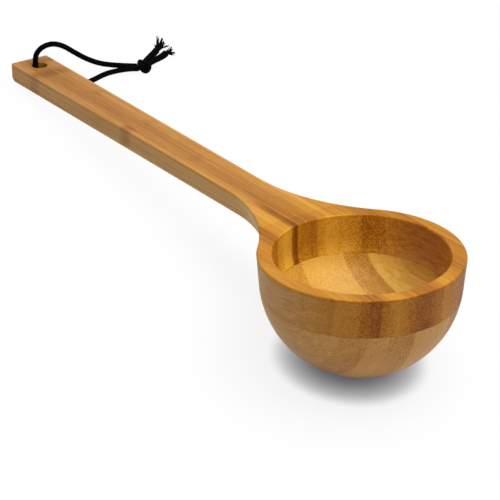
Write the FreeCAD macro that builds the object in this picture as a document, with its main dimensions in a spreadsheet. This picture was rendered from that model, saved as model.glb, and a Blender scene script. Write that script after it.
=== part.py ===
"""A laminated bamboo sauna ladle with a hanging cord, at its real size in millimetres.

The wood is shaped in the ladle's own level frame: the bowl's axis is Z, the rim and the
handle's top lie in the plane Z = 0, and the handle runs along -X. The finished pieces are
then turned into the pose in which the ladle lies on a table: on the round bottom of its
bowl and on the cord where that passes under the handle's end. The table is Z = 0.
"""

import FreeCAD
import Part
import math
import os
import Sketcher

from FreeCAD import Placement, Rotation, Vector

doc = FreeCAD.newDocument("sauna_ladle")

# Driving dimensions, in millimetres and degrees
DIMENSIONS = {
    # the bowl: a round belly whose middle lies below the rim, and a wall that flares to the rim
    "bowl_radius": 60.0,
    "belly_middle_depth": 14.7,
    "rim_flare": 1.4,
    "rim_wall": 9.0,
    "hollow_depth": 50.0,
    "hollow_straight": 15.0,
    "hollow_corner_radius": 24.0,
    # the upper board carries the rim and the handle, and the lower block is glued under it
    "board_thickness": 24.6,
    # the handle
    "handle_reach": 383.0,
    "handle_thickness": 13.3,
    "handle_width_end": 29.2,
    "handle_width_neck": 27.0,
    "neck_station": 130.0,
    "flare_radius_top": 114.0,
    "flare_radius_below": 58.0,
    "neck_foot_below_joint": 0.9,
    # the hanging hole
    "hole_diameter": 11.0,
    "hole_inset": 15.0,
    "hole_edge_radius": 0.6,
    # worked edges
    "end_heel_radius": 4.5,
    "edge_radius": 1.0,
    "lower_edge_radius": 1.5,
    # the cord, its knot and its two ends
    "cord_diameter": 4.0,
    "cord_clearance": 0.1,
    "knot_radius": 6.0,
    "knot_face_distance": 4.2,
    "knot_height": 9.2,
}

sheet = doc.addObject("Spreadsheet::Sheet", "Dimensions")
for row, (alias, value) in enumerate(DIMENSIONS.items(), start=1):
    sheet.set(f"A{row}", alias)
    sheet.set(f"B{row}", str(value))
    sheet.setAlias(f"B{row}", alias)
doc.recompute()


def size(alias):
    """A driving dimension, as a number."""
    return float(getattr(sheet, alias))


def cell(alias):
    """A driving dimension, as an expression refers to it."""
    return f"<<{sheet.Label}>>.{alias}"


def body(label):
    new_body = doc.addObject("PartDesign::Body", label)
    new_body.Label = label
    return new_body


def origin_plane(owner, role):
    return next(f for f in owner.Origin.OriginFeatures if f.Role == role)


def sketch_on(owner, name, role, offset=None):
    """A sketch on one of the body's origin planes, raised along the plane's normal by an expression."""
    sketch = owner.newObject("Sketcher::SketchObject", name)
    sketch.AttachmentSupport = [(origin_plane(owner, role), "")]
    sketch.MapMode = "FlatFace"
    if offset:
        sketch.setExpression("AttachmentOffset.Base.z", offset)
    return sketch


def bind(sketch, index, name, expression):
    """Names a constraint and ties its value to an expression of the sheet."""
    sketch.renameConstraint(index, name)
    sketch.setExpression(f"Constraints.{name}", expression)


START, END, CENTRE = 1, 2, 3
X_AXIS, Y_AXIS, ORIGIN = -1, -2, (-1, 1)

# How far a cutting profile runs past the surface that it cuts
OVERCUT = 5.0
# Two places closer than this are the same place
TOUCH = 0.01
# What lies on the table is this far above it
TABLE_GAP = 0.05

# Sizes that follow from the driving ones
rim_radius = size("bowl_radius") + size("rim_flare")
RIM_RADIUS = f"{cell('bowl_radius')} + {cell('rim_flare')}"
hollow_radius = rim_radius - size("rim_wall")
joint_drop = size("board_thickness") - size("belly_middle_depth")
joint_radius = math.sqrt(size("bowl_radius") ** 2 - joint_drop**2)
JOINT_RADIUS = (
    f"sqrt(pow({cell('bowl_radius')}; 2) - "
    f"pow({cell('board_thickness')} - {cell('belly_middle_depth')}; 2))"
)


def line(x0, y0, x1, y1):
    return Part.LineSegment(Vector(x0, y0, 0), Vector(x1, y1, 0))


def arc(x, y, radius, first, last):
    """An arc from one angle to another, anticlockwise, in radians."""
    circle = Part.Circle(Vector(x, y, 0), Vector(0, 0, 1), radius)
    return Part.ArcOfCircle(circle, first, last)


def constrain(sketch, *parts):
    return sketch.addConstraint(Sketcher.Constraint(*parts))


def join(sketch, kind, *pairs):
    for first, first_end, second, second_end in pairs:
        constrain(sketch, kind, first, first_end, second, second_end)


def drop(sketch, name, geometry, point, depth, expression):
    """Keeps a point so far below the sketch's X axis."""
    index = constrain(sketch, "DistanceY", geometry, point, *ORIGIN, depth)
    bind(sketch, index, name, expression)


def reach(sketch, name, geometry, point, distance, expression):
    """Keeps a point so far to the right of the sketch's Y axis."""
    index = constrain(sketch, "DistanceX", *ORIGIN, geometry, point, distance)
    bind(sketch, index, name, expression)


def radius_of(sketch, name, geometry, value, expression):
    index = constrain(sketch, "Radius", geometry, value)
    bind(sketch, index, name, expression)


def flare_start(flare_radius, circle_radius):
    """The middle of the arc that joins the handle's side to the bowl, and where the arc starts."""
    half_neck = size("handle_width_neck") / 2
    slope = (half_neck - size("handle_width_end") / 2) / (
        size("handle_reach") - size("neck_station")
    )
    # the centre lies on a line beside the handle's side, and on a circle round the bowl's axis
    rise = half_neck + slope * size("neck_station") + flare_radius * math.hypot(1, slope)
    a = 1 + slope**2
    b = 2 * slope * rise
    c = rise**2 - (circle_radius + flare_radius) ** 2
    x = (-b - math.sqrt(b**2 - 4 * a * c)) / (2 * a)
    y = slope * x + rise
    tilt = math.atan(slope)
    return Vector(x, y, 0), Vector(
        x + flare_radius * math.sin(tilt), y - flare_radius * math.cos(tilt), 0
    )


def plan_outline(owner, name, depth, flare, circle_radius, circle_expression):
    """The handle seen from above, with the two flares that run out tangent to the bowl."""
    sketch = sketch_on(owner, name, "XY_Plane", depth)
    far = -size("handle_reach")
    half_end = size("handle_width_end") / 2
    flare_radius = size(flare)
    middle, start = flare_start(flare_radius, circle_radius)
    inward = math.atan2(-middle.y, -middle.x)
    meet = middle + flare_radius * Vector(math.cos(inward), math.sin(inward), 0)
    first = math.atan2(start.y - middle.y, start.x - middle.x)
    end, side, bow, chord, near_bow, near_side, ring, station = range(8)
    sketch.addGeometry(
        [
            line(far, -half_end, far, half_end),
            line(far, half_end, start.x, start.y),
            arc(middle.x, middle.y, flare_radius, first, inward),
            line(meet.x, meet.y, meet.x, -meet.y),
            arc(middle.x, -middle.y, flare_radius, -inward, -first),
            line(start.x, -start.y, far, -half_end),
        ],
        False,
    )
    sketch.addGeometry(
        [
            Part.Circle(Vector(0, 0, 0), Vector(0, 0, 1), circle_radius),
            Part.Point(Vector(-size("neck_station"), size("handle_width_neck") / 2, 0)),
        ],
        True,
    )
    join(
        sketch,
        "Coincident",
        (end, END, side, START),
        (bow, END, chord, START),
        (chord, END, near_bow, START),
        (near_bow, END, near_side, START),
        (near_side, END, end, START),
    )
    constrain(sketch, "Tangent", side, END, bow, START)
    constrain(sketch, "Coincident", ring, CENTRE, *ORIGIN)
    constrain(sketch, "Tangent", bow, END, ring)
    constrain(sketch, "Symmetric", end, START, end, END, X_AXIS)
    constrain(sketch, "Symmetric", bow, START, near_bow, END, X_AXIS)
    constrain(sketch, "Symmetric", bow, END, near_bow, START, X_AXIS)
    constrain(sketch, "Equal", bow, near_bow)
    constrain(sketch, "PointOnObject", station, START, side)
    index = constrain(sketch, "DistanceX", end, END, *ORIGIN, -far)
    bind(sketch, index, "reach", cell("handle_reach"))
    index = constrain(sketch, "DistanceY", end, START, end, END, 2 * half_end)
    bind(sketch, index, "end_width", cell("handle_width_end"))
    index = constrain(sketch, "DistanceX", station, START, *ORIGIN, size("neck_station"))
    bind(sketch, index, "station", cell("neck_station"))
    index = constrain(
        sketch, "DistanceY", *ORIGIN, station, START, size("handle_width_neck") / 2
    )
    bind(sketch, index, "neck_half_width", f"{cell('handle_width_neck')} / 2")
    radius_of(sketch, "flare", bow, flare_radius, cell(flare))
    radius_of(sketch, "ring", ring, circle_radius, circle_expression)
    return sketch


def disc_profile(owner):
    """Half the section of the bowl's upper layer before it is hollowed."""
    sketch = sketch_on(owner, "disc_profile", "XZ_Plane")
    outer = size("bowl_radius")
    thick = size("board_thickness")
    middle = size("belly_middle_depth")
    fall = math.asin(joint_drop / outer)
    # the wall leans in from the rim until it touches the belly
    touch = math.acos(outer / math.hypot(rim_radius, middle)) - math.atan2(middle, rim_radius)
    top, wall, belly, joint, axis = range(5)
    sketch.addGeometry(
        [
            line(0, 0, rim_radius, 0),
            line(rim_radius, 0, outer * math.cos(touch), -middle - outer * math.sin(touch)),
            arc(0, -middle, outer, -fall, -touch),
            line(joint_radius, -thick, 0, -thick),
            line(0, -thick, 0, 0),
        ],
        False,
    )
    join(
        sketch,
        "Coincident",
        (top, START, ORIGIN[0], ORIGIN[1]),
        (top, END, wall, START),
        (belly, START, joint, START),
        (joint, END, axis, START),
        (axis, END, top, START),
    )
    constrain(sketch, "Tangent", wall, END, belly, END)
    for flat in (top, joint):
        constrain(sketch, "Horizontal", flat)
    constrain(sketch, "Vertical", axis)
    constrain(sketch, "PointOnObject", belly, CENTRE, Y_AXIS)
    reach(sketch, "rim", wall, START, rim_radius, RIM_RADIUS)
    radius_of(sketch, "belly", belly, outer, cell("bowl_radius"))
    drop(sketch, "middle", belly, CENTRE, middle, cell("belly_middle_depth"))
    drop(sketch, "joint", joint, START, thick, cell("board_thickness"))
    return sketch


def block_profile(owner):
    """Half the section of the block under the joint before it is hollowed."""
    sketch = sketch_on(owner, "block_profile", "XZ_Plane")
    outer = size("bowl_radius")
    thick = size("board_thickness")
    fall = math.asin(joint_drop / outer)
    middle = size("belly_middle_depth")
    joint, belly, axis = range(3)
    sketch.addGeometry(
        [
            line(0, -thick, joint_radius, -thick),
            arc(0, -middle, outer, -math.pi / 2, -fall),
            line(0, -middle - outer, 0, -thick),
        ],
        False,
    )
    join(
        sketch,
        "Coincident",
        (joint, END, belly, END),
        (belly, START, axis, START),
        (axis, END, joint, START),
    )
    constrain(sketch, "Horizontal", joint)
    constrain(sketch, "PointOnObject", joint, START, Y_AXIS)
    constrain(sketch, "PointOnObject", axis, START, Y_AXIS)
    constrain(sketch, "PointOnObject", belly, CENTRE, Y_AXIS)
    radius_of(sketch, "belly", belly, outer, cell("bowl_radius"))
    drop(sketch, "middle", belly, CENTRE, middle, cell("belly_middle_depth"))
    drop(sketch, "joint", joint, START, thick, cell("board_thickness"))
    return sketch


def hollow_profile(owner):
    """Half the section of the bowl's hollow: a straight wall, a round corner and a flatter floor."""
    sketch = sketch_on(owner, "hollow_profile", "XZ_Plane")
    depth = size("hollow_depth")
    straight = size("hollow_straight")
    corner_radius = size("hollow_corner_radius")
    corner_x = hollow_radius - corner_radius
    fall = depth - straight
    floor_radius = (corner_x**2 + fall**2 - corner_radius**2) / (2 * (fall - corner_radius))
    turn = math.atan2(-straight + depth - floor_radius, corner_x)
    top, wall, corner, floor, axis = range(5)
    sketch.addGeometry(
        [
            line(0, OVERCUT, hollow_radius, OVERCUT),
            line(hollow_radius, OVERCUT, hollow_radius, -straight),
            arc(corner_x, -straight, corner_radius, turn, 0),
            arc(0, floor_radius - depth, floor_radius, -math.pi / 2, turn),
            line(0, -depth, 0, OVERCUT),
        ],
        False,
    )
    join(
        sketch,
        "Coincident",
        (top, END, wall, START),
        (floor, START, axis, START),
        (axis, END, top, START),
    )
    constrain(sketch, "Tangent", wall, END, corner, END)
    constrain(sketch, "Tangent", corner, START, floor, END)
    constrain(sketch, "Horizontal", top)
    constrain(sketch, "Vertical", wall)
    constrain(sketch, "PointOnObject", axis, START, Y_AXIS)
    constrain(sketch, "PointOnObject", top, START, Y_AXIS)
    constrain(sketch, "PointOnObject", floor, CENTRE, Y_AXIS)
    constrain(sketch, "DistanceY", *ORIGIN, top, START, OVERCUT)
    reach(
        sketch, "inner", wall, START, hollow_radius,
        f"{RIM_RADIUS} - {cell('rim_wall')}",
    )
    drop(sketch, "straight", wall, END, straight, cell("hollow_straight"))
    drop(sketch, "depth", floor, START, depth, cell("hollow_depth"))
    radius_of(sketch, "corner", corner, corner_radius, cell("hollow_corner_radius"))
    return sketch


def underside_profile(owner):
    """What is sawn away under the handle, up to a round that lands on the bowl below the joint."""
    sketch = sketch_on(owner, "underside_profile", "XZ_Plane")
    outer = size("bowl_radius")
    middle = size("belly_middle_depth")
    thick = size("handle_thickness")
    far = size("handle_reach") + OVERCUT
    low = size("board_thickness") + OVERCUT
    # the round touches the underside and the bowl's belly, so its foot gives its radius
    foot_y = -size("board_thickness") - size("neck_foot_below_joint")
    fall = -middle - foot_y
    round_radius = outer * (fall + middle - thick) / (outer - fall)
    round_y = -thick - round_radius
    round_x = math.sqrt((outer + round_radius) ** 2 - (round_y + middle) ** 2)
    foot_x = round_x * outer / (outer + round_radius)
    inward = math.atan2(-middle - round_y, -round_x)
    under, fillet, wall, base, end, belly = range(6)
    sketch.addGeometry(
        [
            line(far, -thick, round_x, -thick),
            arc(round_x, round_y, round_radius, math.pi / 2, inward),
            line(foot_x, foot_y, foot_x, -low),
            line(foot_x, -low, far, -low),
            line(far, -low, far, -thick),
        ],
        False,
    )
    sketch.addGeometry(
        [Part.Circle(Vector(0, -middle, 0), Vector(0, 0, 1), outer)], True
    )
    join(
        sketch,
        "Coincident",
        (fillet, END, wall, START),
        (wall, END, base, START),
        (base, END, end, START),
        (end, END, under, START),
    )
    constrain(sketch, "Tangent", under, END, fillet, START)
    constrain(sketch, "Tangent", fillet, END, belly)
    for flat in (under, base):
        constrain(sketch, "Horizontal", flat)
    for upright in (wall, end):
        constrain(sketch, "Vertical", upright)
    constrain(sketch, "PointOnObject", belly, CENTRE, Y_AXIS)
    drop(sketch, "middle", belly, CENTRE, middle, cell("belly_middle_depth"))
    radius_of(sketch, "belly", belly, outer, cell("bowl_radius"))
    drop(sketch, "under", under, START, thick, cell("handle_thickness"))
    drop(
        sketch, "foot", fillet, END, -foot_y,
        f"{cell('board_thickness')} + {cell('neck_foot_below_joint')}",
    )
    drop(sketch, "low", base, END, low, f"{cell('board_thickness')} + {OVERCUT}")
    reach(sketch, "far", end, START, far, f"{cell('handle_reach')} + {OVERCUT}")
    return sketch


def revolve(owner, kind, name, sketch):
    """A full turn of a profile about the bowl's axis."""
    feature = owner.newObject(f"PartDesign::{kind}", name)
    feature.Profile = sketch
    feature.ReferenceAxis = (sketch, ["V_Axis"])
    feature.Angle = 360
    doc.recompute()
    return feature


board = body("handle_board")
revolve(board, "Revolution", "disc", disc_profile(board))
upper_outline = plan_outline(
    board, "outline_top", None, "flare_radius_top", rim_radius, RIM_RADIUS
)
lower_outline = plan_outline(
    board, "outline_below", f"-{cell('board_thickness')}", "flare_radius_below",
    joint_radius, JOINT_RADIUS,
)
blank = board.newObject("PartDesign::AdditiveLoft", "handle_blank")
blank.Profile = upper_outline
blank.Sections = [lower_outline]
blank.Ruled = True
doc.recompute()
revolve(board, "Groove", "underside", underside_profile(board))
revolve(board, "Groove", "hollow", hollow_profile(board))


def round_edges(owner, name, radius, chosen):
    """Rounds the edges of the owner's tip that the given test picks by their box."""
    base = owner.Tip
    edges = enumerate(base.Shape.Edges, start=1)
    names = [f"Edge{number}" for number, edge in edges if chosen(edge.BoundBox)]
    fillet = owner.newObject("PartDesign::Fillet", name)
    fillet.Base = (base, names)
    fillet.setExpression("Radius", cell(radius))
    doc.recompute()


def at_end(box):
    return abs(box.XMax + size("handle_reach")) < TOUCH


def is_heel(box):
    """The edge across the handle's end, underneath."""
    return at_end(box) and abs(box.ZMax + size("handle_thickness")) < TOUCH


def is_end_corner(box):
    """The two upright edges of the handle's end; the round runs on along the edges underneath."""
    return at_end(box) and box.YLength < TOUCH and box.ZLength > TOUCH


def is_top_edge(box):
    """Every edge of the top face, round the rim and along the handle."""
    return abs(box.ZMin) < TOUCH and abs(box.ZMax) < TOUCH


def is_hole_mouth(box):
    wide = size("hole_diameter")
    return abs(box.XLength - wide) < TOUCH and abs(box.YLength - wide) < TOUCH


round_edges(board, "heel_round", "end_heel_radius", is_heel)
round_edges(board, "under_edges_round", "lower_edge_radius", is_end_corner)
round_edges(board, "top_edges_round", "edge_radius", is_top_edge)

hole_sketch = sketch_on(board, "hole_outline", "XY_Plane")
hole_sketch.addGeometry(
    Part.Circle(
        Vector(size("hole_inset") - size("handle_reach"), 0, 0),
        Vector(0, 0, 1),
        size("hole_diameter") / 2,
    )
)
constrain(hole_sketch, "PointOnObject", 0, CENTRE, X_AXIS)
index = constrain(
    hole_sketch, "DistanceX", 0, CENTRE, *ORIGIN, size("handle_reach") - size("hole_inset")
)
bind(hole_sketch, index, "place", f"{cell('handle_reach')} - {cell('hole_inset')}")
radius_of(hole_sketch, "bore", 0, size("hole_diameter") / 2, f"{cell('hole_diameter')} / 2")
hole = board.newObject("PartDesign::Pocket", "hanging_hole")
hole.Profile = hole_sketch
hole.Type = "ThroughAll"
doc.recompute()
round_edges(board, "hole_edges_round", "hole_edge_radius", is_hole_mouth)

base = body("bowl_base")
revolve(base, "Revolution", "block", block_profile(base))
revolve(base, "Groove", "hollow_below", hollow_profile(base))

# The ladle lies on the table on its round bottom and on the cord, which leaves the hole
# underneath: the handle's underside is as high above the table there as the cord is thick.
bottom_centre = size("belly_middle_depth")
hole_reach = size("handle_reach") - size("hole_inset")
cord_rise = size("handle_thickness") + size("cord_clearance") + size("cord_diameter") / 2
drop_to_cord = cord_rise - bottom_centre
lean = math.asin(
    (size("bowl_radius") - size("cord_diameter") / 2) / math.hypot(hole_reach, drop_to_cord)
) - math.atan2(drop_to_cord, hole_reach)
lift = bottom_centre * math.cos(lean) + size("bowl_radius")
# the wood reaches equally far to both sides of the origin
edge = size("edge_radius")
end_reach = (size("handle_reach") - edge) * math.cos(lean) - edge * math.sin(lean) + edge
bowl_reach = bottom_centre * math.sin(lean) + size("bowl_radius")
shift = (end_reach - bowl_reach) / 2
lying = Placement(Vector(shift, 0, lift), Rotation(Vector(0, 1, 0), -math.degrees(lean)))
for piece in (board, base):
    piece.Placement = lying

# The cord's places are measured from here: on the table, straight below the middle of the
# hole's lower mouth
mouth = lying.multVec(Vector(-hole_reach, 0, -size("handle_thickness")))
UNDER_HOLE = Vector(mouth.x, mouth.y, 0)

# On the table, a strand's middle is this high
LAID = size("cord_diameter") / 2 + TABLE_GAP
# Two strands that lie side by side are this far apart
SPACING = size("cord_diameter") + size("cord_clearance")

# The knot lies on the table beside the handle. Both strands of the loop enter it side by side
# through one face, and both ends leave it side by side through another.
KNOT_PLACE = (12.8, 78.1)
STRANDS_HEADING = 62.0
ENDS_HEADING = 125.0
STRANDS_BELOW_MIDDLE = 0.7
# The strands leave the knot square to its faces for this far
LOOP_LEAD = 5.0
END_LEAD = 4.2
knot_middle = UNDER_HOLE + Vector(*KNOT_PLACE, size("knot_height") / 2 + TABLE_GAP)


def heading(angle):
    return Vector(math.cos(math.radians(angle)), math.sin(math.radians(angle)), 0)


def on_face(angle, distance, side):
    """Where a strand meets a face of the knot: side is 1 for the strand to the left, else -1."""
    left = heading(angle + 90)
    down = Vector(0, 0, -STRANDS_BELOW_MIDDLE)
    return knot_middle + heading(angle) * distance + left * (side * SPACING / 2) + down


def route(*places):
    """Points of a cord's route, from places measured from below the hole."""
    return [UNDER_HOLE + Vector(*place) for place in places]


face = size("knot_face_distance")
loop_start = on_face(STRANDS_HEADING, -face, 1)
loop_end = on_face(STRANDS_HEADING, -face, -1)
upper_start = on_face(ENDS_HEADING, face, 1)
lower_start = on_face(ENDS_HEADING, face, -1)

# From the knot up over the handle's edge, down through the hole, out under the handle and
# back along the table
LOOP = [
    loop_start,
    loop_start - heading(STRANDS_HEADING) * LOOP_LEAD,
    *route(
        (1.0, 60.6, 4.2),
        (-1.4, 49.8, 7.0),
        (-3.4, 39.1, 12.6),
        (-4.6, 29.4, 19.7),
        (-5.1, 21.1, 26.2),
        (-5.1, 12.7, 30.1),
        (-4.8, 5.3, 30.3),
        (-4.6, 0.1, 27.7),
        (-4.4, -2.4, 23.2),
        (-3.2, -2.2, 14.2),
        (-1.4, -0.9, 5.9),
        (1.0, 1.8, LAID),
        (4.8, 7.2, LAID),
        (10.9, 16.1, LAID),
        (12.4, 27.3, LAID),
        (9.9, 38.7, LAID),
        (6.3, 49.4, LAID),
        (5.7, 59.4, LAID),
    ),
    loop_end - heading(STRANDS_HEADING) * LOOP_LEAD,
    loop_end,
]
UPPER_END = [
    upper_start,
    upper_start + heading(ENDS_HEADING) * END_LEAD,
    *route(
        (1.6, 90.9, 3.6),
        (-4.5, 99.9, 2.6),
        (-9.5, 106.6, LAID),
        (-14.3, 111.5, LAID),
    ),
]
LOWER_END = [
    lower_start,
    lower_start + heading(ENDS_HEADING) * END_LEAD,
    *route(
        (7.0, 92.3, 3.7),
        (4.1, 99.4, 3.0),
        (1.0, 105.5, 2.3),
        (-2.4, 110.8, LAID),
    ),
]

# Each bend of a cord takes this share of its shorter run
BEND_SHARE = 0.45


def bent_path(name, points):
    """Straight runs joined by arcs that are as large as the runs allow."""
    edges = []
    radii = []
    start = points[0]
    for before, corner, after in zip(points, points[1:], points[2:]):
        back = before - corner
        ahead = after - corner
        half_turn = (math.pi - back.getAngle(ahead)) / 2
        tangent = BEND_SHARE * min(back.Length, ahead.Length)
        radii.append(tangent / math.tan(half_turn))
        back.normalize()
        ahead.normalize()
        enter = corner + back * tangent
        leave = corner + ahead * tangent
        inward = (back + ahead).normalize()
        sagitta = radii[-1] / math.cos(half_turn) - radii[-1]
        edges.append(Part.LineSegment(start, enter).toShape())
        edges.append(Part.Arc(enter, corner + inward * sagitta, leave).toShape())
        start = leave
    edges.append(Part.LineSegment(start, points[-1]).toShape())
    path = doc.addObject("Part::Feature", f"{name}_path")
    path.Shape = Part.Wire(edges)
    print(name, "length", round(path.Shape.Length, 1), "radii", [round(r, 1) for r in radii])
    return path


def cord(label, points):
    """A round cord swept along its bent path."""
    path = bent_path(label, points)
    section = doc.addObject("Part::Circle", f"{label}_section")
    section.setExpression("Radius", f"{cell('cord_diameter')} / 2")
    section.Placement = Placement(points[0], Rotation(Vector(0, 0, 1), points[1] - points[0]))
    tube = doc.addObject("Part::Sweep", label)
    tube.Label = label
    tube.Sections = [section]
    tube.Spine = (path, [f"Edge{number + 1}" for number in range(len(path.Shape.Edges))])
    tube.Solid = True
    doc.recompute()
    expected = math.pi * (size("cord_diameter") / 2) ** 2 * path.Shape.Length
    print(label, "volume", round(tube.Shape.Volume, 2), "section times length", round(expected, 2))
    return tube


def flat_cutter(name, angle):
    """A block whose near face is one of the knot's flat faces."""
    cutter = doc.addObject("Part::Box", name)
    for side in ("Length", "Width", "Height"):
        cutter.setExpression(side, f"4 * {cell('knot_radius')}")
    reach_out = heading(angle) * face
    half = 2 * size("knot_radius")
    corner = reach_out + heading(angle + 90) * -half + Vector(0, 0, -half)
    cutter.Placement = Placement(knot_middle + corner, Rotation(Vector(0, 0, 1), angle))
    return cutter


def make_knot():
    """A drawn-down knot: a ball, flattened where it lies and where the cord goes in and out."""
    ball = doc.addObject("Part::Sphere", "knot_ball")
    ball.setExpression("Radius", cell("knot_radius"))
    ball.Placement.Base = knot_middle
    slab = doc.addObject("Part::Box", "knot_slab")
    for side in ("Length", "Width"):
        slab.setExpression(side, f"4 * {cell('knot_radius')}")
    slab.setExpression("Height", cell("knot_height"))
    half = 2 * size("knot_radius")
    slab.Placement.Base = knot_middle - Vector(half, half, size("knot_height") / 2)
    pressed = doc.addObject("Part::Common", "knot_pressed")
    pressed.Base = ball
    pressed.Tool = slab
    entered = doc.addObject("Part::Cut", "knot_entered")
    entered.Base = pressed
    entered.Tool = flat_cutter("knot_entry_face", STRANDS_HEADING + 180)
    knot = doc.addObject("Part::Cut", "cord_knot")
    knot.Label = "cord_knot"
    knot.Base = entered
    knot.Tool = flat_cutter("knot_exit_face", ENDS_HEADING)
    doc.recompute()
    return knot


pieces = [
    board,
    base,
    cord("hanging_cord", LOOP),
    make_knot(),
    cord("cord_end_upper", UPPER_END),
    cord("cord_end_lower", LOWER_END),
]
doc.recompute()

faults = [o.Name for o in doc.Objects if {"Invalid", "Error"} & set(o.State)]
faults += [p.Label for p in pieces if p.Shape.isNull() or not p.Shape.isValid()]
if faults:
    raise RuntimeError(f"not built: {faults}")

os.makedirs("parts", exist_ok=True)
for piece in pieces:
    piece.Shape.exportStep(f"parts/{piece.Label}.step")
    box = piece.Shape.optimalBoundingBox()
    print(
        piece.Label,
        "solids", len(piece.Shape.Solids),
        "volume", round(piece.Shape.Volume, 1),
        "box", [round(v, 2) for v in (box.XMin, box.XMax, box.YMin, box.YMax, box.ZMin, box.ZMax)],
    )
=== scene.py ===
"""The looks of a laminated bamboo sauna ladle with a hanging cord, as it lies on a pale table."""

import bisect
import math
import random

import bmesh
import bpy
from mathutils import Matrix, Vector


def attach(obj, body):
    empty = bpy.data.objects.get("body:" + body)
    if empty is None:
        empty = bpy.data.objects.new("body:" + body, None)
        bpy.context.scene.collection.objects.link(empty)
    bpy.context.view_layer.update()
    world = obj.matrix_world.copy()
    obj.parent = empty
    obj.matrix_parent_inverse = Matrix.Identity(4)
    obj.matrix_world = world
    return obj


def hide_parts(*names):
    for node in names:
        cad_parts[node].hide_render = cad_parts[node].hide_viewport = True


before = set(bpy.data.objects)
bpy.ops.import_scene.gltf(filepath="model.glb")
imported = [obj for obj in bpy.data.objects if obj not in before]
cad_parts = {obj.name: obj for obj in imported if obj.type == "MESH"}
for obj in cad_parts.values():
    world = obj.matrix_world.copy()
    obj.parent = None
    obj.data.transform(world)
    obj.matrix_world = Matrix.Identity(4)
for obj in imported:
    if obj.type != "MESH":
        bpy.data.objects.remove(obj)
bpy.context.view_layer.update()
luck = random.Random(7)

# The wood's own level frame: the bowl's axis is Z, the rim and the handle's top lie at Z = 0 and
# the handle runs along -X. The ladle lies turned about Y from it.
LEAN = math.radians(8.9591)
LIFT = Vector((0.157947, 0, 0.0745207))
lying = Matrix.Translation(LIFT) @ Matrix.Rotation(-LEAN, 4, "Y")

# Places in the wood, in millimetres in its level frame: the glue joint's height, how far to each
# side the strips are described, and where along X the bowl ends and the handle starts
GLUE_JOINT = -24.6
HALF_SPAN = 70.0
HANDLE_START = -62.0

# The strips that the wood is pressed from: the near edge of each across the ladle, in
# millimetres, and how pale it is there and at its far edge. Bamboo is denser and darker towards
# the culm's skin, so most strips shade from one side to the other.
BOARD_STRIPS = [
    (-68.3, 0.56, 0.60),
    (-58.2, 0.58, 0.50),
    (-48.1, 0.58, 0.54),
    (-38.0, 0.46, 0.34),
    (-27.9, 0.47, 0.67),
    (-17.8, 0.63, 0.42),
    (-7.7, 0.40, 0.36),
    (2.4, 0.39, 0.53),
    (12.5, 0.62, 0.54),
    (22.6, 0.58, 0.44),
    (32.7, 0.36, 0.42),
    (42.8, 0.47, 0.41),
    (52.9, 0.48, 0.60),
]
BASE_STRIPS = [
    (-69.0, 0.60, 0.60),
    (-56.0, 0.60, 0.57),
    (-45.0, 0.50, 0.44),
    (-33.0, 0.55, 0.60),
    (-22.0, 0.52, 0.45),
    (-6.5, 0.63, 0.67),
    (21.5, 0.48, 0.40),
    (34.4, 0.76, 0.60),
    (46.0, 0.50, 0.54),
    (57.0, 0.60, 0.60),
]
# Darker marks in single strips, most of them knuckles of the culm: the middle along the handle,
# how far the mark reaches each way, its near and far edge across, and how much darker it is
BOARD_MARKS = [
    (-235.0, 9.0, -17.8, -7.7, 0.17),
    (-236.0, 7.0, 2.4, 12.5, 0.05),
    (-351.0, 9.0, -17.8, 12.5, 0.13),
    (-300.0, 7.0, 2.4, 12.5, 0.06),
    (-168.0, 7.0, -7.7, 2.4, 0.06),
    (-66.0, 34.0, -13.0, -7.7, 0.24),
    (-48.0, 11.0, -11.5, -7.7, 0.14),
    (-48.0, 11.0, 2.4, 7.0, 0.10),
    (28.0, 8.0, -38.0, -27.9, 0.10),
]
BASE_MARKS = [(14.0, 8.0, -33.0, -22.0, 0.10)]
# Colours of each layer where the fibres are cut across, by how pale the wood is there
BOARD_END_GRAIN = [
    (0.0, "#5a3006"), (1.0, "#fdd262"), (0.36, "#a56514"), (0.5, "#ce9122"), (0.64, "#ebb239"),
]
# The base's colours are paler and less golden than the board's: partly its own wood, partly
# painted light thrown up from the pale table onto the lower bowl
BASE_END_GRAIN = [
    (0.0, "#6e3c11"), (1.0, "#fccc7a"), (0.36, "#b67a33"), (0.5, "#d29544"), (0.64, "#e6ae5b"),
]

# The braided cord, in metres: flat strands wound both ways round a core, over one and under the
# next. WAVE is how far a strand swings in and out.
STRANDS_EACH_WAY = 8
BRAID_PITCH = 0.0125
STEPS_PER_TURN = 32
STRAND_RADIUS = 0.00157
STRAND_HALF_WIDTH = 0.0005
STRAND_HALF_THICKNESS = 0.00026
WAVE = 0.0002
CORE_RADIUS = 0.0015
CORE_STEP = 0.001
# The attribute "across" runs from -1 to 1 over a strand's width. With this many radians of a
# sine to each 1, a strand shows 12 filaments.
FILAMENT_WAVES = 38.0

# Places along the cord are measured from the table straight below the handle's hole
UNDER_HOLE = Vector((-0.203492, 0, 0))

# From the knot up over the handle's edge, down through the hole, out under the handle and
# back along the table
LOOP = [
    (0.0090182, 0.075354, 0.00395),
    (0.0066708, 0.070939, 0.00395),
    (0.0010, 0.0606, 0.0042),
    (-0.0014, 0.0498, 0.0070),
    (-0.0034, 0.0391, 0.0126),
    (-0.0046, 0.0294, 0.0197),
    (-0.0051, 0.0211, 0.0262),
    (-0.0051, 0.0127, 0.0301),
    (-0.0048, 0.0053, 0.0303),
    (-0.0046, 0.0001, 0.0277),
    (-0.0044, -0.0024, 0.0232),
    (-0.0032, -0.0022, 0.0142),
    (-0.0014, -0.0009, 0.0059),
    (0.0010, 0.0018, 0.00205),
    (0.0048, 0.0072, 0.00205),
    (0.0109, 0.0161, 0.00205),
    (0.0124, 0.0273, 0.00205),
    (0.0099, 0.0387, 0.00205),
    (0.0063, 0.0494, 0.00205),
    (0.0057, 0.0594, 0.00205),
    (0.0102908, 0.0690145, 0.00395),
    (0.0126382, 0.0734292, 0.00395),
]
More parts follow.
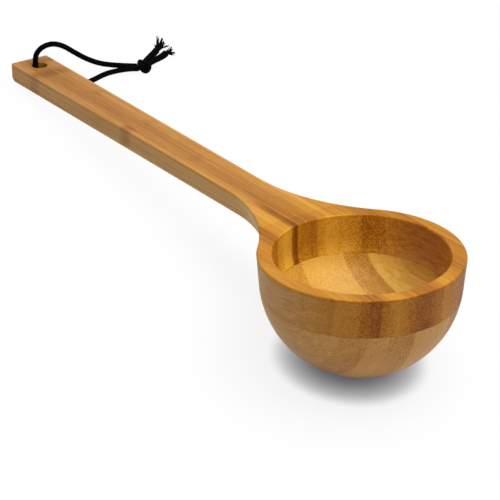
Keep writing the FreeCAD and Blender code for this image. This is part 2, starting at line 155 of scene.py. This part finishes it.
UPPER_END = [
    (0.0087117, 0.0803646, 0.00395),
    (0.0063027, 0.083805, 0.00395),
    (0.0016, 0.0909, 0.0036),
    (-0.0045, 0.0999, 0.0026),
    (-0.0095, 0.1066, 0.0027),
    (-0.0143, 0.1115, 0.0028),
]
LOWER_END = [
    (0.0120703, 0.0827162, 0.00395),
    (0.0096613, 0.0861566, 0.00395),
    (0.0070, 0.0923, 0.0037),
    (0.0041, 0.0994, 0.0030),
    (0.0010, 0.1055, 0.0027),
    (-0.0024, 0.1108, 0.0028),
]
# The knot's own turns, measured from its middle: an overhand knot pulled tight
KNOT_MIDDLE = Vector((0.0128, 0.0781, 0.00465))
KNOT = [
    (0.0014, 0.0008, 0.0002),
    (-0.0021, 0.0034, -0.0025),
    (-0.0047, 0.0024, 0.0001),
    (-0.0041, -0.0003, 0.0025),
    (0.0001, -0.0021, 0.0003),
    (0.0040, -0.0002, -0.0024),
    (0.0047, 0.0026, 0.0001),
    (0.0018, 0.0035, 0.0025),
    (-0.0015, 0.0009, 0.0001),
    (-0.0022, -0.0033, -0.0023),
    (0.0001, -0.0051, 0.0000),
    (0.0023, -0.0032, 0.0026),
    (0.0014, 0.0008, 0.0002),
]
# Where the yarns of each cut end have come apart: their tips, measured as the cord's places are
UPPER_TIPS = [
    (-0.0191, 0.1114, 0.0070),
    (-0.0186, 0.1122, 0.0062),
    (-0.0152, 0.1134, 0.0065),
    (-0.0121, 0.1134, 0.0056),
    (-0.0113, 0.1150, 0.0048),
    (-0.0102, 0.1140, 0.0030),
    (-0.0072, 0.1144, 0.0034),
    (-0.0168, 0.1078, 0.0017),
    (-0.0118, 0.1100, 0.0040),
]
LOWER_TIPS = [
    (-0.0040, 0.1142, 0.0045),
    (-0.0018, 0.1146, 0.0036),
    (0.0012, 0.1143, 0.0024),
    (0.0027, 0.1135, 0.0014),
    (0.0025, 0.1112, 0.0010),
    (-0.0005, 0.1136, 0.0026),
]
# How the cut ends come apart, in metres: how far each is still braided, and how much thicker the
# braid grows over its last stretch. Then the yarns: how many go to each tip, how deep in the
# braid they start, and how thick and how unruly they are.
UPPER_BRAIDED = 0.0275
LOWER_BRAIDED = 0.0265
LOOSENED_BY = 0.34
LOOSENED_LENGTH = 0.024
YARNS_PER_TIP = 6
YARN_ROOT = 0.003
YARN_RADIUS = 0.00038
YARN_THICKNESS = (1.2, 1.2, 0.95, 0.5)
YARN_UNRULY = 0.00038
YARN_LOWEST = 0.0005


def srgb(colour):
    """Linear red, green, blue and alpha of a hex colour."""
    levels = [int(colour[i : i + 2], 16) / 255 for i in (1, 3, 5)]
    return [v / 12.92 if v <= 0.04045 else ((v + 0.055) / 1.055) ** 2.4 for v in levels] + [1.0]


def add(tree, kind, inputs=(), stops=(), **settings):
    """Adds a shader node, makes its settings, gives a ramp its stops, and feeds its sockets with
    values, with other nodes' sockets, or with the first result of other nodes."""
    node = tree.nodes.new("ShaderNode" + kind)
    for name, value in settings.items():
        setattr(node, name, value)
    for i, (place, colour) in enumerate(stops):
        stop = node.color_ramp.elements[i] if i < 2 else node.color_ramp.elements.new(place)
        stop.position = place
        stop.color = srgb(colour) if isinstance(colour, str) else (colour, colour, colour, 1)
    for socket, value in dict(inputs).items():
        if isinstance(value, bpy.types.Node):
            value = value.outputs[0]
        if isinstance(value, bpy.types.NodeSocket):
            tree.links.new(value, node.inputs[socket])
        else:
            node.inputs[socket].default_value = value
    return node


def new_material(name):
    material = bpy.data.materials.new(name)
    material.use_nodes = True
    material.node_tree.nodes.clear()
    return material


def link_object(name, data):
    piece = bpy.data.objects.new(name, data)
    bpy.context.scene.collection.objects.link(piece)
    return piece


def camera():
    """The photograph's view: how far it looks down and round, in the wood's level frame."""
    down = math.radians(26.129)
    around = math.radians(54.537)
    place = (0.87375, -0.702063, 0.550569)
    data = bpy.data.cameras.new("camera")
    data.sensor_width = 36
    data.lens = 154.659
    data.clip_start = 0.1
    viewer = link_object("camera", data)
    turned = Matrix.Rotation(around, 4, "Z") @ Matrix.Rotation(math.pi / 2 - down, 4, "X")
    viewer.matrix_world = lying @ Matrix.Translation(place) @ turned
    bpy.context.scene.camera = viewer


def white_paper():
    """Matt white paper: it looks plain white, with a soft grey shadow painted into its glow where
    the bowl comes down to it."""
    material = new_material("matt white paper floor")
    tree = material.node_tree
    ray = add(tree, "LightPath")
    seen = add(
        tree, "Math", {0: ray.outputs["Is Camera Ray"], 1: ray.outputs["Is Glossy Ray"]},
        operation="MAXIMUM",
    )
    # Painted shadow: the glow turns grey where the open air above the paper shrinks, as under
    # the bowl, where it shrinks to nothing
    open_air = add(tree, "AmbientOcclusion", {"Distance": 0.018}, samples=16)
    painted_contact_shadow = add(
        tree, "ValToRGB", {0: open_air.outputs["AO"]},
        stops=[
            (0.0, "#424246"), (1.0, "#ffffff"), (0.22, "#6e6e72"), (0.55, "#b8b8ba"),
            (0.88, "#f8f8f9"),
        ],
    )
    # The painted shadow has its full depth within 120 mm of the bowl's mouth, and next to none
    # past 200 mm
    place = add(tree, "TexCoord")
    away = add(
        tree, "VectorMath", {0: place.outputs["Object"], 1: tuple(LIFT)}, operation="DISTANCE"
    )
    near = add(
        tree, "MapRange",
        {
            "Value": away.outputs["Value"], "From Min": 0.12, "From Max": 0.20,
            "To Min": 1.0, "To Max": 0.0,
        },
        interpolation_type="SMOOTHSTEP",
    )
    shade = add(
        tree, "Mix", {0: near, 6: srgb("#ffffff"), 7: painted_contact_shadow}, data_type="RGBA"
    ).outputs[2]
    share = add(tree, "MapRange", {"Value": near, "To Min": 0.95, "To Max": 0.87})
    share = add(tree, "Math", {0: seen, 1: share}, operation="MULTIPLY")
    # What the paper throws back at the ladle is dimmer than what the camera sees
    sheet = add(
        tree, "Mix", {0: ray.outputs["Is Camera Ray"], 6: srgb("#c4c4c6"), 7: srgb("#f4f4f6")},
        data_type="RGBA",
    ).outputs[2]
    paper = add(tree, "BsdfDiffuse", {"Color": sheet})
    white = add(tree, "Emission", {"Color": shade, "Strength": 1.0})
    mix = add(tree, "MixShader", {0: share, 1: paper, 2: white})
    add(tree, "OutputMaterial", {"Surface": mix})
    return material


def floor():
    """A plain table top, 12 m across, so that it fills the view from any side."""
    mesh = bmesh.new()
    bmesh.ops.create_grid(mesh, x_segments=1, y_segments=1, size=6)
    data = bpy.data.meshes.new("floor")
    mesh.to_mesh(data)
    mesh.free()
    data.materials.append(white_paper())
    link_object("floor", data)


def studio():
    """Plain soft light: a pale room, and one soft square lamp above the ladle."""
    world = bpy.data.worlds.new("studio")
    bpy.context.scene.world = world
    world.use_nodes = True
    tree = world.node_tree
    tree.nodes.clear()
    glow = add(tree, "Background", {"Color": srgb("#ffffff"), "Strength": 0.36})
    add(tree, "OutputWorld", {"Surface": glow})

    data = bpy.data.lights.new("overhead", "AREA")
    data.shape = "SQUARE"
    data.size = 0.9
    data.energy = 15.5
    lamp = link_object("overhead", data)
    lamp.location = (0.17, 0.19, 1.27)
    ladle_middle = Vector((0.05, 0, 0.03))
    lamp.rotation_euler = (ladle_middle - lamp.location).to_track_quat("-Z", "Y").to_euler()


def level_millimetres(tree, place):
    """Millimetres in the wood's level frame: x along the fibres, y across the strips, z up."""
    return add(
        tree, "Mapping",
        {
            "Vector": place.outputs["Object"],
            "Location": -(Matrix.Rotation(LEAN, 3, "Y") @ LIFT) * 1000,
            "Rotation": (0, LEAN, 0),
            "Scale": (1000, 1000, 1000),
        },
    )


def across_the_fibres(tree, place):
    """How squarely the surface crosses the fibres: 0 along them, 1 on end grain."""
    facing = add(
        tree, "VectorMath",
        {0: place.outputs["Normal"], 1: (math.cos(LEAN), 0, math.sin(LEAN))},
        operation="DOT_PRODUCT",
    )
    square = add(tree, "Math", {0: facing.outputs["Value"]}, operation="ABSOLUTE")
    return add(
        tree, "MapRange", {"Value": square, "From Min": 0.10, "From Max": 0.80},
        interpolation_type="SMOOTHSTEP",
    )


def fibre_bundles(tree, level, start):
    """Fibre bundles, 0.55 mm across and about 80 times as long: each one's own tone, and how
    near a place is to the middle of its bundle."""
    along = add(
        tree, "Mapping", {"Vector": level, "Location": (start, 0, 0), "Scale": (0.022, 1.8, 1.8)}
    )
    bundles = add(tree, "TexVoronoi", {"Vector": along, "Scale": 1.0})
    tone = add(tree, "SeparateColor", {0: bundles.outputs["Color"]})
    heart = add(
        tree, "MapRange",
        {"Value": bundles, "From Min": 0.10, "From Max": 0.55, "To Min": 1.0, "To Max": 0.0},
        interpolation_type="SMOOTHSTEP",
    )
    return tone, heart


def grain(tree, level):
    """Streaks of colour 2 mm wide along the strips, fine fibre drawn at 0.4 mm, coarser than it
    is so that it shows, and faint blotches 16 mm wide."""
    return [
        add(
            tree, "TexNoise",
            {
                "Vector": add(tree, "Mapping", {"Vector": level, "Scale": scale}),
                "Scale": 1.0,
                "Detail": detail,
                "Roughness": 0.6,
            },
        )
        for scale, detail in (
            ((0.006, 0.45, 0.45), 4.0), ((0.08, 2.6, 2.6), 3.0), ((0.015, 0.06, 0.06), 2.0)
        )
    ]


def strip_tone(tree, y, strips):
    """How pale each strip is. It shades across, and meets the next one sharply."""
    seam = 0.15
    edges = [edge for edge, near, far in strips[1:]] + [HALF_SPAN]
    stops = []
    for (edge, near, far), end in zip(strips, edges):
        stops += [(0.5 + 0.5 * (edge + seam) / HALF_SPAN, near)]
        stops += [(0.5 + 0.5 * (end - seam) / HALF_SPAN, far)]
    spread = add(tree, "Math", {0: y, 1: 0.5 / HALF_SPAN, 2: 0.5}, operation="MULTIPLY_ADD")
    return add(tree, "ValToRGB", {0: spread}, stops=stops)


def grained(tree, tone, cut, streaks, fine, blotches, bundle_tone, heart):
    """The strips' tone with the grain in it. On end grain the streaks are fainter and the
    bundles stand out more, as speckle."""
    for source, centre, share in (
        (streaks, 0.5, 0.55),
        (fine, 0.5, 0.30),
        (blotches, 0.5, 0.20),
        (bundle_tone, 0.5, 0.08),
        (heart, 0.4, -0.05),
    ):
        change = add(tree, "Math", {0: source, 1: centre}, operation="SUBTRACT")
        tone = add(tree, "Math", {0: change, 1: share, 2: tone}, operation="MULTIPLY_ADD")
    for source, centre, share in ((streaks, 0.5, -0.38), (bundle_tone, heart, 0.12)):
        change = add(tree, "Math", {0: source, 1: centre}, operation="SUBTRACT")
        change = add(tree, "Math", {0: change, 1: cut}, operation="MULTIPLY")
        tone = add(tree, "Math", {0: change, 1: share, 2: tone}, operation="MULTIPLY_ADD")
    return tone


def marked(tree, tone, x, y, streaks, marks):
    """Darkens the marks. They fade out along the fibres, unevenly by up to half of wander."""
    wander = 16.0
    uneven = add(tree, "Math", {0: streaks, 1: wander, 2: x}, operation="MULTIPLY_ADD")
    for middle, reach, near, far, depth in marks:
        off = add(tree, "Math", {0: uneven, 1: middle + wander / 2}, operation="SUBTRACT")
        off = add(tree, "Math", {0: off}, operation="ABSOLUTE")
        band = add(
            tree, "MapRange",
            {
                "Value": off, "From Min": 0.2 * reach, "From Max": reach,
                "To Min": depth, "To Max": 0.0,
            },
            interpolation_type="SMOOTHSTEP",
        )
        past = add(tree, "Math", {0: y, 1: near}, operation="GREATER_THAN")
        short = add(tree, "Math", {0: y, 1: far}, operation="LESS_THAN")
        strip = add(tree, "Math", {0: past, 1: short}, operation="MULTIPLY")
        band = add(tree, "Math", {0: band, 1: strip}, operation="MULTIPLY")
        tone = add(tree, "Math", {0: tone, 1: band}, operation="SUBTRACT")
    return tone


def paler_handle(tree, tone, x, z):
    """The handle grows paler from its end to the bowl, on its sides more than on its top."""
    paler = add(
        tree, "MapRange",
        {
            "Value": x, "From Min": -400.0, "From Max": -110.0, "To Min": 0.0, "To Max": 0.19,
        },
    )
    side = add(
        tree, "MapRange",
        {"Value": z, "From Min": -2.5, "From Max": -0.5, "To Min": 1.0, "To Max": 0.35},
    )
    behind = add(tree, "Math", {0: x, 1: HANDLE_START}, operation="LESS_THAN")
    side = add(tree, "Math", {0: side, 1: behind}, operation="MULTIPLY")
    paler = add(tree, "Math", {0: paler, 1: side}, operation="MULTIPLY")
    return add(tree, "Math", {0: tone, 1: paler}, operation="ADD")


def glue_line(tree, tone, z):
    """The thin brown line of glue between the board and the base."""
    off = add(tree, "Math", {0: z, 1: -GLUE_JOINT}, operation="ADD")
    off = add(tree, "Math", {0: off}, operation="ABSOLUTE")
    glue = add(
        tree, "MapRange",
        {"Value": off, "From Min": 0.1, "From Max": 0.5, "To Min": 0.10, "To Max": 0.0},
    )
    return add(tree, "Math", {0: tone, 1: glue}, operation="SUBTRACT")


def wood_colour(tree, tone, cut, end_grain_colours):
    """Paler along the fibres than where they are cut across."""
    long_grain = add(
        tree, "ValToRGB", {0: tone},
        stops=[
            (0.0, "#663c15"), (1.0, "#ebc588"), (0.3, "#9b632e"), (0.5, "#ba8345"),
            (0.7, "#d29f5a"),
        ],
    )
    end_grain = add(tree, "ValToRGB", {0: tone}, stops=end_grain_colours)
    return add(
        tree, "Mix", {0: cut, 6: long_grain, 7: end_grain}, data_type="RGBA"
    ).outputs[2]


def painted_bounce_glow_and_outside_shade(tree, wood, place, cut, outside, hollow):
    """Painted light: the hollow tint, golden on the base, is a painted glow of light bounced
    round inside it, and the outside tint on end grain, darker and pinker, is painted shade. What
    faces away from the middle of the bowl's mouth is outside."""
    from_mouth = add(
        tree, "VectorMath", {0: place.outputs["Object"], 1: tuple(LIFT)}, operation="SUBTRACT"
    )
    outward = add(
        tree, "VectorMath", {0: place.outputs["Normal"], 1: from_mouth}, operation="DOT_PRODUCT"
    )
    outer = add(tree, "Math", {0: outward.outputs["Value"], 1: -0.004}, operation="GREATER_THAN")
    glow_or_shade_tint = add(
        tree, "Mix", {0: outer, 6: srgb(hollow), 7: srgb(outside)}, data_type="RGBA"
    ).outputs[2]
    inner = add(tree, "Math", {0: 1.0, 1: outer}, operation="SUBTRACT")
    share = add(tree, "Math", {0: cut, 1: inner}, operation="MAXIMUM")
    return add(
        tree, "Mix", {0: share, 6: wood, 7: glow_or_shade_tint}, data_type="RGBA", blend_type="MULTIPLY"
    ).outputs[2]


def oiled_top(tree, wood, x, y, z):
    """The top is a richer yellow around the bowl, where it is sanded finer and has taken more
    oil, and plainer towards the handle's end."""
    reach = 400.0
    out = add(tree, "CombineXYZ", {0: x, 1: y})
    out = add(tree, "VectorMath", {0: out}, operation="LENGTH")
    out = add(tree, "Math", {0: out.outputs["Value"], 1: 1 / reach}, operation="MULTIPLY")
    oiled = add(
        tree, "ValToRGB", {0: out}, stops=[(0.16, 1.0), (0.95, 0.0), (0.26, 0.45), (0.5, 0.25)]
    )
    top = add(
        tree, "MapRange", {"Value": z, "From Min": -3.0, "From Max": -0.8},
        interpolation_type="SMOOTHSTEP",
    )
    oiled = add(tree, "Math", {0: oiled, 1: top}, operation="MULTIPLY")
    return add(
        tree, "Mix", {0: oiled, 6: wood, 7: srgb("#ffed90")}, data_type="RGBA",
        blend_type="MULTIPLY",
    ).outputs[2]


def bamboo(name, strips, marks, end_grain_colours, outside, hollow, start):
    """Side-pressed laminated bamboo, sanded and oiled: strips about 10 mm wide in different
    honey tones, fine fibre bundles that show as long dashes along the strip and as speckle where
    the cut crosses them, and a soft satin shine."""
    material = new_material(name)
    tree = material.node_tree
    place = add(tree, "TexCoord")
    level = level_millimetres(tree, place)
    x, y, z = add(tree, "SeparateXYZ", {0: level}).outputs
    cut = across_the_fibres(tree, place)
    bundle_tone, heart = fibre_bundles(tree, level, start)
    streaks, fine, blotches = grain(tree, level)

    tone = strip_tone(tree, y, strips)
    tone = grained(tree, tone, cut, streaks, fine, blotches, bundle_tone, heart)
    tone = marked(tree, tone, x, y, streaks, marks)
    tone = paler_handle(tree, tone, x, z)
    tone = glue_line(tree, tone, z)
    wood = wood_colour(tree, tone, cut, end_grain_colours)
    # Painted light: a golden glow in the hollow and shade on the outside end grain
    wood = painted_bounce_glow_and_outside_shade(tree, wood, place, cut, outside, hollow)
    wood = oiled_top(tree, wood, x, y, z)

    # The fibres stand out a little where sanding has worn the softer wood between them
    rough = add(
        tree, "MapRange",
        {"Value": fine, "From Min": 0.25, "From Max": 0.75, "To Min": 0.40, "To Max": 0.54},
    )
    height = add(tree, "Math", {0: heart, 1: -0.5, 2: fine}, operation="MULTIPLY_ADD")
    bump = add(tree, "Bump", {"Strength": 0.35, "Distance": 0.0001, "Height": height})
    skin = add(
        tree, "BsdfPrincipled",
        {
            "Base Color": wood,
            "Roughness": rough,
            "IOR": 1.45,
            "Specular IOR Level": 0.22,
            "Normal": bump,
        },
    )
    add(tree, "OutputMaterial", {"Surface": skin})
    return material


def black_cord():
    """Black polyester yarn, braided: deep black and matt, with fine filaments along each
    strand."""
    material = new_material("black braided polyester")
    tree = material.node_tree
    # Filaments along the strands, drawn coarser than they are so that they show
    across = add(tree, "Attribute", attribute_name="across")
    wave = add(
        tree, "Math", {0: across.outputs["Fac"], 1: FILAMENT_WAVES}, operation="MULTIPLY"
    )
    wave = add(tree, "Math", {0: wave}, operation="SINE")
    # Loose fibre ends, drawn at 0.4 mm
    place = add(tree, "TexCoord")
    fuzz = add(
        tree, "TexNoise",
        {"Vector": place.outputs["Object"], "Scale": 2600.0, "Detail": 2.0, "Roughness": 0.6},
    )
    height = add(tree, "Math", {0: wave, 1: 0.35, 2: fuzz}, operation="MULTIPLY_ADD")
    bump = add(tree, "Bump", {"Strength": 0.6, "Distance": 0.00008, "Height": height})
    tone = add(
        tree, "ValToRGB", {0: fuzz}, stops=[(0.25, "#030303"), (0.8, "#0c0c0d"), (0.5, "#050506")]
    )
    skin = add(
        tree, "BsdfPrincipled",
        {
            "Base Color": tone,
            "Roughness": 0.8,
            "Specular IOR Level": 0.05,
            "Normal": bump,
        },
    )
    add(tree, "OutputMaterial", {"Surface": skin})
    return material


def dress(node, material):
    """Gives a CAD node's object a new material."""
    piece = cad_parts[node]
    piece.data.materials.clear()
    piece.data.materials.append(material)


def spline(name, places, start=UNDER_HOLE):
    """The smooth line that a cord follows, with the given places as its control points, and the
    points read along it."""
    data = bpy.data.curves.new(name, "CURVE")
    data.dimensions = "3D"
    data.resolution_u = 16
    line = data.splines.new("NURBS")
    line.points.add(len(places) - 1)
    for point, place in zip(line.points, places):
        point.co = (*(start + Vector(place)), 1)
    line.order_u = 3
    line.use_endpoint_u = True
    guide = bpy.data.objects.new(name, data)
    read = bpy.data.meshes.new_from_object(guide)
    points = [v.co.copy() for v in read.vertices]
    bpy.data.objects.remove(guide)
    bpy.data.meshes.remove(read)
    bpy.data.curves.remove(data)
    return points


def carried_axes(points):
    """Distances along the points, and at each the two directions across the line, carried along
    it without twisting."""
    gone = [0.0]
    for a, b in zip(points, points[1:]):
        gone.append(gone[-1] + (b - a).length)
    axes = []
    side = Vector((0, 0, 1))
    for i in range(len(points)):
        ahead = (points[min(i + 1, len(points) - 1)] - points[max(i - 1, 0)]).normalized()
        side = (side - ahead * side.dot(ahead)).normalized()
        axes.append((side, ahead.cross(side)))
    return gone, axes


def bend_along(mesh, points):
    """Bends a straight piece, which stands on Z = 0, along the points."""
    gone, axes = carried_axes(points)
    for vert in mesh.verts:
        i = min(max(bisect.bisect(gone, vert.co.z) - 1, 0), len(points) - 2)
        t = (vert.co.z - gone[i]) / (gone[i + 1] - gone[i])
        centre = points[i].lerp(points[i + 1], t)
        side = axes[i][0].lerp(axes[i + 1][0], t)
        other = axes[i][1].lerp(axes[i + 1][1], t)
        vert.co = centre + side * vert.co.x + other * vert.co.y


def braid_core(mesh, length):
    """The cord's core, standing along Z."""
    core = bmesh.ops.create_circle(mesh, segments=10, radius=CORE_RADIUS, cap_ends=False)["verts"]
    steps = max(2, round(length / CORE_STEP))
    bmesh.ops.spin(
        mesh, geom=core + mesh.edges[:], cent=(0, 0, 0), axis=(0, 0, 1),
        dvec=(0, 0, length / steps), angle=0, steps=steps,
    )


def one_strand(mesh, across, length):
    """A flat strand that winds up round the core, in and out, with how far each point lies
    across it. Gives its points."""
    core = set(mesh.verts)
    turns = length / BRAID_PITCH
    steps = max(4, round(turns * STEPS_PER_TURN))
    slant = math.atan(math.tau * STRAND_RADIUS / BRAID_PITCH)
    ring = bmesh.ops.create_circle(mesh, segments=6, radius=1, cap_ends=False)["verts"]
    size = (STRAND_HALF_THICKNESS, STRAND_HALF_WIDTH, 1)
    bmesh.ops.scale(mesh, vec=size, verts=ring)
    bmesh.ops.rotate(mesh, verts=ring, cent=(0, 0, 0), matrix=Matrix.Rotation(-slant, 3, "X"))
    bmesh.ops.translate(mesh, verts=ring, vec=(STRAND_RADIUS, 0, 0))
    bmesh.ops.spin(
        mesh, geom=ring + [edge for edge in mesh.edges if edge.verts[0] in ring],
        cent=(0, 0, 0), axis=(0, 0, 1),
        dvec=(0, 0, length / steps), angle=math.tau * turns, steps=steps,
    )
    strand = [vert for vert in mesh.verts if vert not in core]
    for vert in strand:
        turned = math.tau * vert.co.z / BRAID_PITCH
        lag = math.atan2(vert.co.y, vert.co.x) - turned
        lag = (lag + math.pi) % math.tau - math.pi
        vert[across] = lag * STRAND_RADIUS / STRAND_HALF_WIDTH
        push = WAVE * math.cos(STRANDS_EACH_WAY * turned)
        vert.co.xy *= 1 + push / STRAND_RADIUS
    return strand


def straight_braid(length):
    """A braided sleeve on a core, standing along Z."""
    mesh = bmesh.new()
    across = mesh.verts.layers.float.new("across")
    braid_core(mesh, length)
    strand = one_strand(mesh, across, length)
    bmesh.ops.holes_fill(mesh, edges=[edge for edge in mesh.edges if edge.is_boundary], sides=12)
    faces = list(dict.fromkeys(face for vert in strand for face in vert.link_faces))
    edges = list(dict.fromkeys(edge for face in faces for edge in face.edges))
    first = strand + edges + faces
    # The other way's strands mirror this one, half a wave on
    other = bmesh.ops.duplicate(mesh, geom=first)["geom"]
    for vert in (part for part in other if isinstance(part, bmesh.types.BMVert)):
        push = WAVE * math.cos(STRANDS_EACH_WAY * math.tau * vert.co.z / BRAID_PITCH)
        radius = vert.co.xy.length
        vert.co.xy *= (radius - 2 * push) / radius
        vert.co.y *= -1
    for geom in (first, other):
        for i in range(1, STRANDS_EACH_WAY):
            copy = bmesh.ops.duplicate(mesh, geom=geom)["geom"]
            bmesh.ops.rotate(
                mesh, verts=[part for part in copy if isinstance(part, bmesh.types.BMVert)],
                cent=(0, 0, 0), matrix=Matrix.Rotation(math.tau * i / STRANDS_EACH_WAY, 3, "Z"),
            )
    bmesh.ops.recalc_face_normals(mesh, faces=mesh.faces[:])
    return mesh


def cord_piece(name, mesh, material, *nodes):
    """Makes a cord piece from a mesh. It stands for the given CAD nodes."""
    data = bpy.data.meshes.new(name)
    mesh.to_mesh(data)
    mesh.free()
    data.materials.append(material)
    data.polygons.foreach_set("use_smooth", [True] * len(data.polygons))
    piece = link_object(name, data)
    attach(piece, "root")
    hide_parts(*nodes)
    return piece


def braided(points, loosened=0.0):
    """A length of the braided cord along the points, which may grow thicker towards its end."""
    length = carried_axes(points)[0][-1]
    mesh = straight_braid(length)
    if loosened:
        for vert in mesh.verts:
            late = min(1, max(0, 1 - (length - vert.co.z) / LOOSENED_LENGTH))
            vert.co.xy *= 1 + loosened * late
    bend_along(mesh, points)
    return mesh


def yarns(mouth, ahead, side, other, tips):
    """Thin yarns from the braid's open mouth, a few to each tip."""
    data = bpy.data.curves.new("yarns", "CURVE")
    data.dimensions = "3D"
    data.resolution_u = 5
    data.bevel_depth = YARN_RADIUS
    data.bevel_resolution = 1
    data.use_fill_caps = True
    for i, tip in enumerate(tips):
        goal = UNDER_HOLE + Vector(tip)
        for j in range(YARNS_PER_TIP):
            turned = math.tau * (i / len(tips) + 0.13 * j)
            off = side * math.cos(turned) + other * math.sin(turned)
            off *= luck.uniform(0.0005, 0.0017)
            loose = Vector([luck.uniform(-1, 1) for axis in range(3)]) * YARN_UNRULY
            end = goal.lerp(mouth, luck.uniform(0.0, 0.35)) + loose * 1.4
            knee = mouth.lerp(end, 0.55) + loose + ahead * luck.uniform(0.0004, 0.0014)
            way = [mouth - ahead * YARN_ROOT + off, mouth + off, knee, end]
            yarn = data.splines.new("NURBS")
            yarn.points.add(len(way) - 1)
            for point, place, thick in zip(yarn.points, way, YARN_THICKNESS):
                point.co = (place.x, place.y, max(place.z, YARN_LOWEST), 1)
                point.radius = thick
            yarn.order_u = 3
            yarn.use_endpoint_u = True
    bundle = bpy.data.objects.new("yarns", data)
    read = bpy.data.meshes.new_from_object(bundle)
    bpy.data.objects.remove(bundle)
    bpy.data.curves.remove(data)
    return read


def frayed_end(places, tips, braided_length):
    """A cut end: braided for most of its length, then come apart into thin yarns."""
    points = spline("cut_end_route", places)
    gone, axes = carried_axes(points)
    last = bisect.bisect(gone, braided_length)
    mesh = braided(points[:last], LOOSENED_BY)
    mouth = points[last - 1]
    ahead = (mouth - points[last - 3]).normalized()
    loose_yarns = yarns(mouth, ahead, *axes[last - 1], tips)
    mesh.from_mesh(loose_yarns)
    bpy.data.meshes.remove(loose_yarns)
    return mesh


camera()
loop_line = spline("loop_route", LOOP)
cord_black = black_cord()
knot_line = spline("knot_route", KNOT, UNDER_HOLE + KNOT_MIDDLE)
knot = cord_piece("tight_knot", braided(knot_line), cord_black, "cord_knot")
upper_end = cord_piece(
    "frayed_end_upper", frayed_end(UPPER_END, UPPER_TIPS, UPPER_BRAIDED), cord_black,
    "cord_end_upper",
)
lower_end = cord_piece(
    "frayed_end_lower", frayed_end(LOWER_END, LOWER_TIPS, LOWER_BRAIDED), cord_black,
    "cord_end_lower",
)
hanging_loop = cord_piece("cord_loop", braided(loop_line), cord_black, "hanging_cord")
floor()
studio()
dress(
    "handle_board",
    bamboo(
        "oiled side-pressed bamboo, board", BOARD_STRIPS, BOARD_MARKS, BOARD_END_GRAIN,
        # The board's outside end grain is painted darker and pinker, as shade; its hollow is
        # untinted
        outside="#dfc3cc", hollow="#ffffff", start=3.0,
    ),
)
dress(
    "bowl_base",
    bamboo(
        "oiled side-pressed bamboo, base", BASE_STRIPS, BASE_MARKS, BASE_END_GRAIN,
        # The base's outside end grain is painted a little pinker, as shade, and its hollow
        # golden, as light bounced round inside it
        outside="#f6f0fc", hollow="#f7fac4", start=41.0,
    ),
)
bpy.context.scene.view_settings.view_transform = "Standard"
